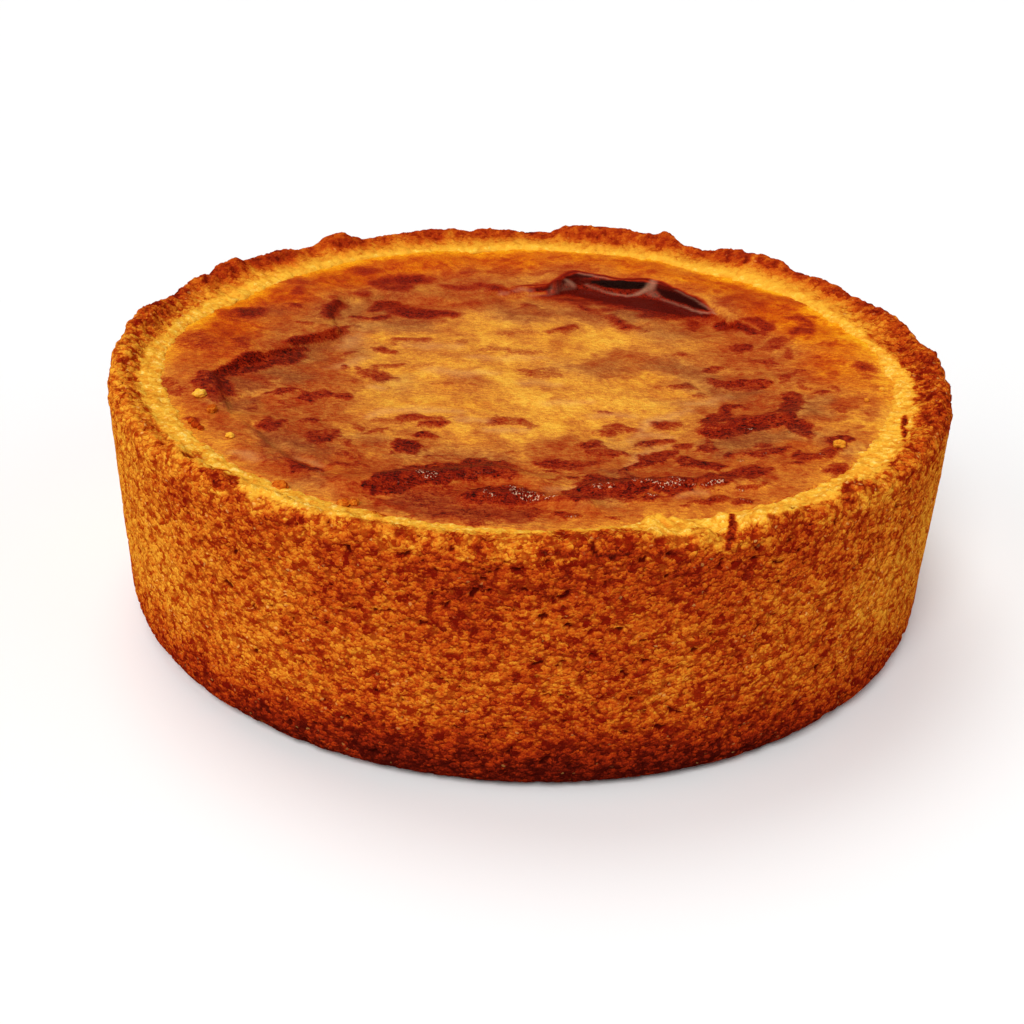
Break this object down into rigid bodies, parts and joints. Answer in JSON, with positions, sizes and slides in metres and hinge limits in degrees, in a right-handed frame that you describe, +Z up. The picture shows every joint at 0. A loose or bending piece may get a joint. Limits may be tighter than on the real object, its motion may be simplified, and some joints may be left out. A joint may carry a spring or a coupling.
{
  "type": "parisian flan",
  "caption": "Whole round Parisian flan: a deep straight-sided case of crumbly golden shortcrust filled with baked egg custard under a browned, blistered skin.",
  "frame": {"origin": "centre of the flat base", "axes": "+Z up along the flan's round axis; -Y towards the side that the picture shows in front"},
  "size_m": [0.1999, 0.1999, 0.0609],
  "materials": {
    "pastry": "matte, crumbly baked shortcrust, golden brown with red-brown crevices",
    "custard": "satin baked custard skin, amber with glossy red-brown blisters"
  },
  "bodies": {
    "root": {"pastry_case": "pastry", "custard": "custard"}
  },
  "joints": []
}
